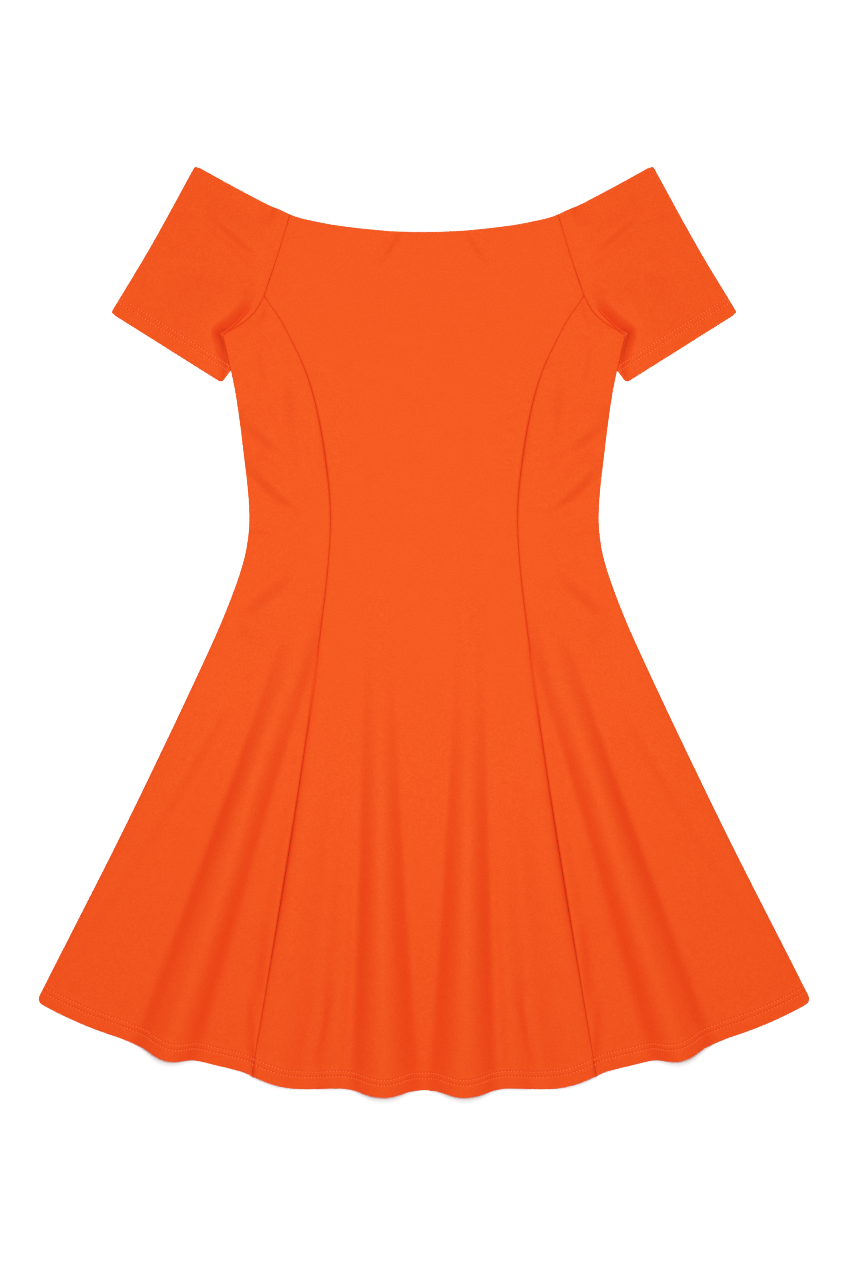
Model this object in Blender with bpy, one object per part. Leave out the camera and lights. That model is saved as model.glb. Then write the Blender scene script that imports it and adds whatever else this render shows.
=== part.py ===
"""A short-sleeved skater dress in plain jersey, off the shoulder, laid flat on its back.

Lengths are metres. +Z points up from the surface that the dress lies on, +Y runs from the hem to
the neckline, and +X is the right of someone who looks down at the front, the wearer's left. The
origin is on the surface, under the middle of the dress.

The dress is symmetric, so every piece is worked out for the half at +X. A front piece is a grid of
points that fills its four edges, raised by the folds and by the air between the layers, and given
the cloth's thickness. The back and the sleeves' back layers lie flat on the surface.
"""

import math

import bpy
from mathutils import Vector
from mathutils.geometry import interpolate_bezier

# ---- cloth and fit ------------------------------------------------------------------------
CLOTH = 0.0012  # thickness of the jersey
SEAM_GAP = 0.0003  # between two pieces that are sewn together
FRONT_LEVEL = CLOTH + SEAM_GAP  # underside of the front where it lies on the back
SLEEVE_FOLD = (FRONT_LEVEL + CLOTH) / 2  # radius of the fold along the outside of a sleeve
BACK_INSET = 0.0012  # the back's hem and neckline end this far inside the front's

# ---- outline, half of it, as seen from above -----------------------------------------------
NECK_CENTRE = Vector((0.0, 0.3757))
NECK_AT_ARMHOLE = Vector((0.1258, 0.3922))
SLEEVE_TOP = Vector((0.2149, 0.4385))  # where the neckline meets the sleeve's outer fold
SLEEVE_CUFF = Vector((0.2945, 0.2996))  # where that fold meets the cuff
CUFF_UNDERARM = Vector((0.1900, 0.2340))  # the cuff's inner corner
UNDERARM = Vector((0.1888, 0.2790))
ARMHOLE_NOTCH = Vector((0.1503, 0.3156))  # where the princess seam starts in the armhole
SIDE_CORNER = Vector((0.3642, -0.3471))  # where the side seam meets the hem
NECK_TO_ARMHOLE = (
    NECK_CENTRE,
    Vector((0.0127, 0.3758)),
    Vector((0.0409, 0.3773)),
    Vector((0.0832, 0.3821)),
    Vector((0.1114, 0.3876)),
    Vector((0.1206, 0.3902)),
    NECK_AT_ARMHOLE,
)
NECK_ON_SLEEVE = (
    NECK_AT_ARMHOLE,
    Vector((0.1490, 0.4028)),
    Vector((0.1772, 0.4174)),
    SLEEVE_TOP,
)
SLEEVE_OUTSIDE = (SLEEVE_CUFF, Vector((0.2576, 0.3610)), SLEEVE_TOP)
UPPER_ARMHOLE = (ARMHOLE_NOTCH, Vector((0.1377, 0.3530)), NECK_AT_ARMHOLE)
LOWER_ARMHOLE = (ARMHOLE_NOTCH, Vector((0.1587, 0.3009)), Vector((0.1715, 0.2893)), UNDERARM)
SLEEVE_UNDERARM = (  # the sleeve's lower edge, which passes beneath the side panel
    CUFF_UNDERARM,
    Vector((0.1810, 0.2463)),
    Vector((0.1738, 0.2590)),
    UNDERARM,
)
SIDE_SEAM = (
    SIDE_CORNER,
    Vector((0.2801, -0.1809)),
    Vector((0.2021, -0.0169)),
    Vector((0.1786, 0.0395)),
    Vector((0.1669, 0.0790)),
    Vector((0.1644, 0.1130)),  # waist
    Vector((0.1701, 0.1711)),
    Vector((0.1782, 0.2295)),
    UNDERARM,
)
PRINCESS_SEAM = (
    Vector((0.1617, -0.4170)),  # at the hem
    Vector((0.1230, -0.1814)),
    Vector((0.0994, -0.0169)),
    Vector((0.0880, 0.0980)),  # waist
    Vector((0.0938, 0.1711)),
    Vector((0.1080, 0.2360)),
    Vector((0.1322, 0.2886)),
    ARMHOLE_NOTCH,
)
HEM_CENTRE_Y = 0.3986  # of the circle that the hem was cut on
HEM_RADIUS = 0.8290
SLEEVE_CORNER_RADIUS = 0.0035
HEM_CORNER_RADIUS = 0.0065
UNDERARM_RADIUS = 0.0035

# Where the hem dips outside its circle, at the end of each fold.
HEM_DIPS = (  # distance of the middle from the centre line, half width, depth
    (0.0387, 0.0265, 0.0051),
    (0.0657, 0.0237, 0.0018),
    (0.1236, 0.0481, 0.0072),
    (0.2409, 0.0230, 0.0054),
    (0.2650, 0.0234, 0.0015),
    (0.3192, 0.0639, 0.0025),
)

# ---- height --------------------------------------------------------------------------------
# The folds of the skirt's front, on each side of the centre line. A fold starts from nothing at
# `fades_out`, has its whole height from `full` down, and keeps it to the hem.
FOLDS = (
    # crest at the hem, crest at y=0, half width at the hem, at y=0, height, fades_out, full
    (0.0385, 0.0425, 0.0360, 0.0150, 0.0210, 0.0600, -0.3600),
    (0.0842, 0.0600, 0.0185, 0.0100, 0.0060, -0.1200, -0.3900),
    (0.1450, 0.0850, 0.0400, 0.0170, 0.0080, -0.0200, -0.3000),
    (0.2375, 0.0951, 0.0260, 0.0180, 0.0045, -0.1200, -0.2600),
    (0.2510, 0.1135, 0.0360, 0.0200, 0.0180, 0.0700, -0.2000),
)
FOLD_HEM = -0.4150  # the height up the dress at which a fold's hem values hold
FOLD_FLARE = 1.5  # a fold widens with this power of the distance down from y=0
PUFF = 0.0018  # air between front and back along the middle of the bodice
PUFF_EDGE = 6  # it falls off with this power of the distance from the centre line
PUFF_FULL = 0.0500  # it is whole above this height and gone at the hem
UNDERARM_LIFT = 0.0045  # the side panel rises over the sleeve that is tucked beneath it
LIFT_CENTRE = Vector((0.1840, 0.2640))
LIFT_REACH = 0.0450
SLEEVE_PUFF = 0.0035
SLEEVE_PUFF_EDGE = 4  # it falls off with this power of the distance from the sleeve's middle

# ---- fineness of the grids -----------------------------------------------------------------
SEAM_ROWS = 24  # along the princess seam
NOTCH_ROWS = 4  # along the upper armhole
ARMHOLE_ROWS = 8  # along the lower armhole
CENTRE_COLUMNS = 21  # across half of the centre panel
SIDE_COLUMNS = 20
UNDERARM_ROWS = 5
SLEEVE_COLUMNS = 6
FOLD_STEPS = 4  # around a sleeve's outer fold
CORNER_STOPS = (0.0017, 0.0034, 0.0052)  # extra points next to a rounded corner
CURVE_STEPS = 24  # points worked out between two named points of a curve
ARC_STEPS = 8
SLOPE_STEP = 0.0005  # for measuring how steep a fold is
SHARP_ANGLE = math.radians(50)

# ---- cloth colours -------------------------------------------------------------------------
ORANGE = (0.896, 0.095, 0.014)
ROUGHNESS = 0.9


# ---- curves --------------------------------------------------------------------------------
def smooth(points):
    """A dense smooth line through the points."""
    last = len(points) - 1

    def tangent(i):
        before, here, after = points[max(i - 1, 0)], points[i], points[min(i + 1, last)]
        return (after - before) / ((here - before).length + (after - here).length)

    line = [points[0]]
    for i in range(last):
        reach = (points[i + 1] - points[i]).length / 3
        handle_out = points[i] + tangent(i) * reach
        handle_in = points[i + 1] - tangent(i + 1) * reach
        stretch = interpolate_bezier(
            points[i], handle_out, handle_in, points[i + 1], CURVE_STEPS + 1
        )
        line.extend(p.to_2d() for p in stretch[1:])
    return line


def length_of(line):
    return sum((b - a).length for a, b in zip(line, line[1:]))


def sampled(line, fractions):
    """The points at these rising fractions of the line's length."""
    whole = length_of(line)
    points = []
    walked, i = 0.0, 0
    for fraction in fractions:
        goal = fraction * whole
        while i < len(line) - 2 and walked + (line[i + 1] - line[i]).length < goal:
            walked += (line[i + 1] - line[i]).length
            i += 1
        step = (line[i + 1] - line[i]).length
        points.append(line[i].lerp(line[i + 1], min((goal - walked) / step, 1.0)))
    return points


def stations(count, line, stops_at_start=(), stops_at_end=()):
    """Even fractions of the line, with extra ones at set distances from its ends."""
    whole = length_of(line)
    near = {stop / whole for stop in stops_at_start} | {1 - stop / whole for stop in stops_at_end}
    return sorted({i / count for i in range(count + 1)} | near)


def round_corner(line_in, line_out, radius):
    """Both lines with their corner cut off by an arc. Each line keeps half of the arc."""
    corner = line_in[-1]
    back = (line_in[-2] - corner).normalized()
    onward = (line_out[1] - corner).normalized()
    half_angle = back.angle(onward) / 2
    cut = radius / math.tan(half_angle)
    centre = corner + (back + onward).normalized() * radius / math.sin(half_angle)

    def half_arc(start):
        spokes = [
            (start - centre).slerp(corner - centre, i / ARC_STEPS) for i in range(ARC_STEPS + 1)
        ]
        return [centre + spoke.normalized() * radius for spoke in spokes]

    kept_in = [p for p in line_in if (p - corner).length > cut]
    kept_out = [p for p in line_out if (p - corner).length > cut]
    arc_in = half_arc(corner + back * cut)
    arc_out = half_arc(corner + onward * cut)
    return kept_in + arc_in, arc_out[::-1] + kept_out


def moved_sideways(line, distance):
    """The line moved to the right of its own direction."""
    moved = []
    for i, point in enumerate(line):
        along = (line[min(i + 1, len(line) - 1)] - line[max(i - 1, 0)]).normalized()
        moved.append(point + Vector((along.y, -along.x)) * distance)
    return moved


def arch(t):
    """1 at t=0, falling to 0 at t=1 and beyond, steepest near the foot."""
    return max(0.0, 1 - t * t) ** 1.5


def eased(t):
    t = min(max(t, 0.0), 1.0)
    return t * t * (3 - 2 * t)


def hem_line(x_from, x_to, dips=HEM_DIPS, inset=0.0, steps=160):
    """The hem between two distances from the centre line, with its dips."""
    line = []
    for i in range(steps + 1):
        x = x_from + (x_to - x_from) * i / steps
        dip = sum(depth * arch((x - middle) / half) for middle, half, depth in dips)
        reach = HEM_RADIUS + dip - inset
        line.append(Vector((x, HEM_CENTRE_Y - math.sqrt(reach**2 - x**2))))
    return line


# ---- the outline's stretches ----------------------------------------------------------------
PRINCESS = smooth(PRINCESS_SEAM)
UPPER = smooth(UPPER_ARMHOLE)
LOWER = smooth(LOWER_ARMHOLE)
NECK = smooth(NECK_TO_ARMHOLE)
SIDE = smooth(SIDE_SEAM)
SEAM_STATIONS = stations(SEAM_ROWS, PRINCESS, stops_at_end=CORNER_STOPS[:2])
UPPER_STATIONS = stations(NOTCH_ROWS, UPPER)


# ---- heights ---------------------------------------------------------------------------------
def folds_at(x, y):
    """How far the skirt's folds raise the front here."""
    down = y / FOLD_HEM
    total = 0.0
    for hem_crest, top_crest, hem_half, top_half, height, fades_out, full in FOLDS:
        crest = top_crest + (hem_crest - top_crest) * down
        half = top_half + (hem_half - top_half) * max(down, 0.0) ** FOLD_FLARE
        strength = eased((fades_out - y) / (fades_out - full))
        total += height * strength * arch((abs(x) - crest) / half)
    return total


def half_width(y):
    """The dress's half width at this height, and the underarm's above that."""
    for lower, upper in zip(SIDE_SEAM, SIDE_SEAM[1:]):
        if y <= upper.y:
            return lower.x + (upper.x - lower.x) * (y - lower.y) / (upper.y - lower.y)
    return UNDERARM.x


def rise(x, y):
    """How far the front lies above its lowest level here."""
    across = min(abs(x) / half_width(y), 1.0)
    puff = PUFF * (1 - across**PUFF_EDGE) * eased((y - FOLD_HEM) / (PUFF_FULL - FOLD_HEM))
    lift = UNDERARM_LIFT * arch((Vector((abs(x), y)) - LIFT_CENTRE).length / LIFT_REACH)
    return puff + lift + folds_at(x, y)


def layer(point):
    """The lower and upper surface of the front at a point of the plan."""
    x, y = point
    low = FRONT_LEVEL + rise(x, y)
    slope_x = (rise(x + SLOPE_STEP, y) - rise(x - SLOPE_STEP, y)) / (2 * SLOPE_STEP)
    slope_y = (rise(x, y + SLOPE_STEP) - rise(x, y - SLOPE_STEP)) / (2 * SLOPE_STEP)
    high = low + CLOTH * math.sqrt(1 + slope_x**2 + slope_y**2)
    return Vector((x, y, low)), Vector((x, y, high))


# ---- solids ----------------------------------------------------------------------------------
def patch(bottom, top, left, right, across, up):
    """A grid, in rows from bottom to top, that fills the four edges given as lists of points."""
    rows = []
    for j, v in enumerate(up):
        row = []
        for i, u in enumerate(across):
            between_ends = bottom[i] * (1 - v) + top[i] * v
            between_sides = left[j] * (1 - u) + right[j] * u
            corners = (bottom[0] * (1 - u) + bottom[-1] * u) * (1 - v)
            corners += (top[0] * (1 - u) + top[-1] * u) * v
            row.append(between_ends + between_sides - corners)
        rows.append(row)
    return rows


def cloth_material(name):
    material = bpy.data.materials.new(name)
    material.use_nodes = True
    shader = material.node_tree.nodes["Principled BSDF"]
    shader.inputs["Base Color"].default_value = (*ORANGE, 1.0)
    shader.inputs["Roughness"].default_value = ROUGHNESS
    shader.inputs["Metallic"].default_value = 0.0
    return material


def add_object(name, points, faces, mirrored=False):
    """A smooth-shaded object, mirrored across the centre line if asked."""
    if mirrored:
        points = [Vector((-p.x, p.y, p.z)) for p in points]
        faces = [face[::-1] for face in faces]
    mesh = bpy.data.meshes.new(name)
    mesh.from_pydata([tuple(p) for p in points], [], faces)
    mesh.materials.append(cloth_material(name))
    mesh.shade_smooth()
    mesh.set_sharp_from_angle(angle=SHARP_ANGLE)
    body = bpy.data.objects.new(name, mesh)
    bpy.context.scene.collection.objects.link(body)
    return body


def wall(name, low, high, mirrored=False):
    """A closed wall between a grid of points and the same grid's upper side."""
    rows, columns = len(low), len(low[0])
    points = [p for row in high for p in row] + [p for row in low for p in row]
    below = rows * columns

    def index(i, j):
        return j * columns + i

    faces = []
    for j in range(rows - 1):
        for i in range(columns - 1):
            quad = (index(i, j), index(i + 1, j), index(i + 1, j + 1), index(i, j + 1))
            faces.append(quad)
            faces.append(tuple(below + k for k in reversed(quad)))
    rim = [index(i, 0) for i in range(columns)]
    rim += [index(columns - 1, j) for j in range(1, rows)]
    rim += [index(i, rows - 1) for i in reversed(range(columns - 1))]
    rim += [index(0, j) for j in reversed(range(1, rows - 1))]
    for a, b in zip(rim, rim[1:] + rim[:1]):
        faces.append((a, below + a, below + b, b))
    return add_object(name, points, faces, mirrored)


def front_wall(name, rows, mirrored=False):
    layers = [[layer(point) for point in row] for row in rows]
    low = [[pair[0] for pair in row] for row in layers]
    high = [[pair[1] for pair in row] for row in layers]
    return wall(name, low, high, mirrored)


def mirror_row(row):
    """A row that starts on the centre line, carried on to the other side."""
    return [Vector((-p.x, p.y)) for p in row[:0:-1]] + row


# ---- pieces ----------------------------------------------------------------------------------
def make_front_centre():
    seam = sampled(PRINCESS, SEAM_STATIONS) + sampled(UPPER, UPPER_STATIONS)[1:]
    edge = moved_sideways(seam, -SEAM_GAP / 2)
    rows = [length_of(edge[: j + 1]) / length_of(edge) for j in range(len(edge))]
    across = stations(CENTRE_COLUMNS, NECK)
    hem = sampled(hem_line(0.0, edge[0].x), across)
    neck = sampled(NECK[:-1] + [edge[-1]], across)
    middle = sampled([hem[0], neck[0]], rows)
    hem[-1] = edge[0]
    grid = patch(hem, neck, middle, edge, across, rows)
    front_wall("front_centre", [mirror_row(row) for row in grid])


def make_front_sides():
    hem, side = round_corner(
        hem_line(PRINCESS[0].x, SIDE_CORNER.x), SIDE, HEM_CORNER_RADIUS
    )
    side, armhole_back = round_corner(side, LOWER[::-1], UNDERARM_RADIUS)
    armhole = armhole_back[::-1]
    across = stations(SIDE_COLUMNS, hem, stops_at_end=CORNER_STOPS)
    rows = sorted(set(SEAM_STATIONS) | set(stations(1, side, stops_at_start=CORNER_STOPS)))
    inner = moved_sideways(sampled(PRINCESS, rows), SEAM_GAP / 2)
    top = moved_sideways(sampled(armhole, across), SEAM_GAP / 2)
    outer = sampled(side, rows)
    bottom = sampled(hem, across)
    top[0] = inner[-1]
    outer[-1] = top[-1]
    bottom[0] = inner[0]
    grid = patch(bottom, top, inner, outer, across, rows)
    front_wall("front_side_left", grid)
    front_wall("front_side_right", grid, mirrored=True)


def sleeve_lines():
    """The sleeve's cuff, neckline, inner edge and outer fold, with their corners rounded."""
    fold = moved_sideways(smooth(SLEEVE_OUTSIDE), -SLEEVE_FOLD)
    neck = smooth(NECK_ON_SLEEVE)
    neck = [p for p in neck if p.x < fold[-1].x] + [fold[-1]]
    inner = smooth(SLEEVE_UNDERARM) + LOWER[-2::-1] + UPPER[1:]
    cuff = [CUFF_UNDERARM, fold[0]]
    inner_back, cuff = round_corner(inner[::-1], cuff, SLEEVE_CORNER_RADIUS)
    cuff, fold = round_corner(cuff, fold, SLEEVE_CORNER_RADIUS)
    fold, neck_back = round_corner(fold, neck[::-1], SLEEVE_CORNER_RADIUS)
    return cuff, neck_back[::-1], inner_back[::-1], fold


def sleeve_stations(inner, fold):
    """Where the sleeve's rows meet its inner edge: the underarm, then the armhole."""
    whole = length_of(inner)
    notch = 1 - length_of(UPPER) / whole
    underarm = notch - length_of(LOWER) / whole
    rows = {underarm * i / UNDERARM_ROWS for i in range(UNDERARM_ROWS)}
    rows |= {underarm + (notch - underarm) * i / ARMHOLE_ROWS for i in range(ARMHOLE_ROWS)}
    rows |= {notch + (1 - notch) * i / NOTCH_ROWS for i in range(NOTCH_ROWS + 1)}
    rows |= set(stations(1, fold, CORNER_STOPS[:2], CORNER_STOPS[:2]))
    return sorted(rows), underarm, notch


def sleeve_rise(u, v, edge_rise, underarm, notch):
    """How far the sleeve's front layer is raised, u of the way out and v of the way up."""
    at_seam = edge_rise * eased((v - underarm) / (notch - underarm)) * (1 - u) ** 2
    across = 1 - abs(2 * u - 1) ** SLEEVE_PUFF_EDGE
    middle = SLEEVE_PUFF * across * (1 + math.sin(math.pi * v)) / 2
    return at_seam + middle


def make_sleeves():
    cuff, neck, inner, fold = sleeve_lines()
    rows, underarm, notch = sleeve_stations(inner, fold)
    across = stations(SLEEVE_COLUMNS, cuff, CORNER_STOPS[:1], CORNER_STOPS[:2])
    edge = moved_sideways(sampled(inner, rows), SEAM_GAP / 2)
    outer = sampled(fold, rows)
    bottom, top = sampled(cuff, across), sampled(neck, across)
    bottom[0], bottom[-1] = edge[0], outer[0]
    top[0], top[-1] = edge[-1], outer[-1]
    plan = patch(bottom, top, edge, outer, across, rows)
    outward = [Vector((n.x, n.y)) for n in directions_out(outer)]
    low, high = [], []
    for j, row in enumerate(plan):
        edge_rise = rise(*row[0])
        levels = [
            FRONT_LEVEL + sleeve_rise(u, rows[j], edge_rise, underarm, notch) for u in across
        ]
        front_low = [Vector((p.x, p.y, z)) for p, z in zip(row, levels)]
        front_high = [Vector((p.x, p.y, z + CLOTH)) for p, z in zip(row, levels)]
        back_low = [Vector((p.x, p.y, CLOTH)) for p in reversed(row)]
        back_high = [Vector((p.x, p.y, 0.0)) for p in reversed(row)]
        low.append(front_low + fold_arc(row[-1], outward[j], SEAM_GAP / 2) + back_low)
        high.append(front_high + fold_arc(row[-1], outward[j], SLEEVE_FOLD) + back_high)
    wall("sleeve_left", low, high)
    wall("sleeve_right", low, high, mirrored=True)
    return sampled(inner, rows)


def directions_out(line):
    """At each point of the line, the direction to its right."""
    return [b - a for a, b in zip(line, moved_sideways(line, 1.0))]


def fold_arc(point, outward, radius):
    """The points between a sleeve's two layers, round the outside of its fold."""
    arc = []
    for k in range(1, FOLD_STEPS):
        turn = math.pi * (0.5 - k / FOLD_STEPS)
        out = point + outward * radius * math.cos(turn)
        arc.append(Vector((out.x, out.y, SLEEVE_FOLD + radius * math.sin(turn))))
    return arc


def make_back(sleeve_edge):
    """One flat panel, which ends just inside the front all round."""
    hem, side = round_corner(
        hem_line(0.0, SIDE_CORNER.x, dips=(), inset=BACK_INSET), SIDE, HEM_CORNER_RADIUS
    )
    under_sleeve = SLEEVE_UNDERARM[1].y
    half = sampled(hem, stations(CENTRE_COLUMNS, hem, stops_at_end=CORNER_STOPS))
    half += sampled(side, stations(SEAM_ROWS, side, stops_at_start=CORNER_STOPS))[1:]
    half = [p for p in half if p.y < under_sleeve - 2 * SEAM_GAP]
    armhole = [p for p in moved_sideways(sleeve_edge, -SEAM_GAP / 2) if p.y > under_sleeve]
    neck = sampled(NECK, stations(CENTRE_COLUMNS // 2, NECK))
    half += armhole[:-1] + [p - Vector((0.0, BACK_INSET)) for p in reversed(neck)]
    outline = half + [Vector((-p.x, p.y)) for p in half[-2:0:-1]]
    count = len(outline)
    points = [Vector((p.x, p.y, CLOTH)) for p in outline]
    points += [Vector((p.x, p.y, 0.0)) for p in outline]
    faces = [tuple(range(count)), tuple(range(2 * count - 1, count - 1, -1))]
    for i in range(count):
        onward = (i + 1) % count
        faces.append((i, count + i, count + onward, onward))
    add_object("back", points, faces)


for old in list(bpy.data.objects):
    bpy.data.objects.remove(old)
make_front_centre()
make_front_sides()
make_back(make_sleeves())
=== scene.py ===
"""The looks of an off-the-shoulder skater dress in jersey that lies flat on its back.

Metres, +Z up from the surface, +Y from the hem to the neckline. Each panel is a thin closed shell on
the form of its solid: the same outline, seams and folds, with the creases, the grooves along the
seams, the turned hems and the twin-needle stitching added. Each sleeve also swells up beside the
underarm, and falls into a hollow where it dives under the side panel. Every piece rides on the one
body.
"""

import math

import bpy
import numpy as np
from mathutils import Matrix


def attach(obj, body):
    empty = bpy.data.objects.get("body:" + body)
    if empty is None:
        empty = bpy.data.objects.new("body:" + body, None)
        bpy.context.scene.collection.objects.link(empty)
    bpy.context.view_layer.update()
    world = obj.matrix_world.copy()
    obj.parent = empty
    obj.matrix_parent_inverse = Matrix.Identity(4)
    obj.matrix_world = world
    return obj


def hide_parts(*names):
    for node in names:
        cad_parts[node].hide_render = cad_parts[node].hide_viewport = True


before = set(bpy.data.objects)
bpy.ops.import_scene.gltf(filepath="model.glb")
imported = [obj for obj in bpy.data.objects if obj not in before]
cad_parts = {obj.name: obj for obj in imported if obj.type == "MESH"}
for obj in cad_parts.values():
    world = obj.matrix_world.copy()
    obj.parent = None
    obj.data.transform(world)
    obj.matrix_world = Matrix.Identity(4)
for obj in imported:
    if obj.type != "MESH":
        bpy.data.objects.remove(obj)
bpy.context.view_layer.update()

# ---- cloth and fit, as in the solids -------------------------------------------------------------
SOLID_CLOTH = 0.0012  # thickness of the solids' walls
SEAM_GAP = 0.0003  # between two pieces that are sewn together
FRONT_LEVEL = SOLID_CLOTH + SEAM_GAP  # underside of the front's solids where they lie on the back
FRONT_TOP = FRONT_LEVEL + SOLID_CLOTH
SLEEVE_FOLD = FRONT_TOP / 2  # radius of the fold along the outside of a sleeve
BACK_INSET = 0.0012  # the back's hem and neckline end this far inside the front's

# ---- the shells' own thickness -------------------------------------------------------------------
JERSEY = 0.0008
TURNED = 0.00135  # where the cloth is turned under and lies double, at hems, cuffs and neckline
HEM_DEPTH = 0.0185  # of the turned hem and cuff
FACING_DEPTH = 0.0090  # of the cloth turned under along the neckline
STEP_WIDTH = 0.0015  # over which one thickness passes into the other, on the inside
RIM = 0.00006  # half the height that is left at a rounded edge

# ---- outline, half of it, as seen from above -----------------------------------------------------
NECK_CENTRE = (0.0, 0.3757)
NECK_AT_ARMHOLE = (0.1258, 0.3922)
SLEEVE_TOP = (0.2149, 0.4385)  # where the neckline meets the sleeve's outer fold
SLEEVE_CUFF = (0.2945, 0.2996)  # where that fold meets the cuff
CUFF_UNDERARM = (0.1900, 0.2340)  # the cuff's inner corner
UNDERARM = (0.1888, 0.2790)
ARMHOLE_NOTCH = (0.1503, 0.3156)  # where the princess seam starts in the armhole
SIDE_CORNER = (0.3642, -0.3471)  # where the side seam meets the hem
NECK_TO_ARMHOLE = (
    NECK_CENTRE,
    (0.0127, 0.3758),
    (0.0409, 0.3773),
    (0.0832, 0.3821),
    (0.1114, 0.3876),
    (0.1206, 0.3902),
    NECK_AT_ARMHOLE,
)
NECK_ON_SLEEVE = (NECK_AT_ARMHOLE, (0.1490, 0.4028), (0.1772, 0.4174), SLEEVE_TOP)
SLEEVE_OUTSIDE = (SLEEVE_CUFF, (0.2576, 0.3610), SLEEVE_TOP)
UPPER_ARMHOLE = (ARMHOLE_NOTCH, (0.1377, 0.3530), NECK_AT_ARMHOLE)
LOWER_ARMHOLE = (ARMHOLE_NOTCH, (0.1587, 0.3009), (0.1715, 0.2893), UNDERARM)
SLEEVE_UNDERARM = (CUFF_UNDERARM, (0.1810, 0.2463), (0.1738, 0.2590), UNDERARM)
SIDE_SEAM = (
    SIDE_CORNER,
    (0.2801, -0.1809),
    (0.2021, -0.0169),
    (0.1786, 0.0395),
    (0.1669, 0.0790),
    (0.1644, 0.1130),  # waist
    (0.1701, 0.1711),
    (0.1782, 0.2295),
    UNDERARM,
)
PRINCESS_SEAM = (
    (0.1617, -0.4170),  # at the hem
    (0.1230, -0.1814),
    (0.0994, -0.0169),
    (0.0880, 0.0980),  # waist
    (0.0938, 0.1711),
    (0.1080, 0.2360),
    (0.1322, 0.2886),
    ARMHOLE_NOTCH,
)
HEM_CENTRE_Y = 0.3986  # of the circle that the hem was cut on
HEM_RADIUS = 0.8290
HEM_DIPS = (  # distance of the middle from the centre line, half width, depth
    (0.0387, 0.0265, 0.0051),
    (0.0657, 0.0237, 0.0018),
    (0.1236, 0.0481, 0.0072),
    (0.2409, 0.0230, 0.0054),
    (0.2650, 0.0234, 0.0015),
    (0.3192, 0.0639, 0.0025),
)
SLEEVE_CORNER_RADIUS = 0.0035
HEM_CORNER_RADIUS = 0.0065
UNDERARM_RADIUS = 0.0035

# ---- the skirt's folds, as in the solids ---------------------------------------------------------
FOLDS = (
    # crest at the hem, crest at y=0, half width at the hem, at y=0, height, fades_out, full
    (0.0385, 0.0425, 0.0360, 0.0150, 0.0210, 0.0600, -0.3600),
    (0.0842, 0.0600, 0.0185, 0.0100, 0.0060, -0.1200, -0.3900),
    (0.1450, 0.0850, 0.0400, 0.0170, 0.0080, -0.0200, -0.3000),
    (0.2375, 0.0951, 0.0260, 0.0180, 0.0045, -0.1200, -0.2600),
    (0.2510, 0.1135, 0.0360, 0.0200, 0.0180, 0.0700, -0.2000),
)
FOLD_HEM = -0.4150  # the height up the dress at which a fold's hem values hold
FOLD_FLARE = 1.5  # a fold widens with this power of the distance down from y=0
ARCH_POWER = 1.5  # of the form that folds and lifts share
PUFF = 0.0018  # air between front and back along the middle of the bodice
PUFF_EDGE = 6  # it falls off with this power of the distance from the centre line
PUFF_FULL = 0.0500  # it is whole above this height and gone at the hem
UNDERARM_LIFT = 0.0045  # the side panel rises over the sleeve that is tucked beneath it
LIFT_CENTRE = (0.1840, 0.2640)
LIFT_REACH = 0.0450
SLEEVE_PUFF = 0.0035
SLEEVE_PUFF_EDGE = 4  # it falls off with this power of the distance from the sleeve's middle
OUTER_PUFF_EDGE = 1.5  # and with this one towards the outer fold
SEAM_RISE_FADE = 2  # the front's rise at the armhole fades with this power across the sleeve

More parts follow.
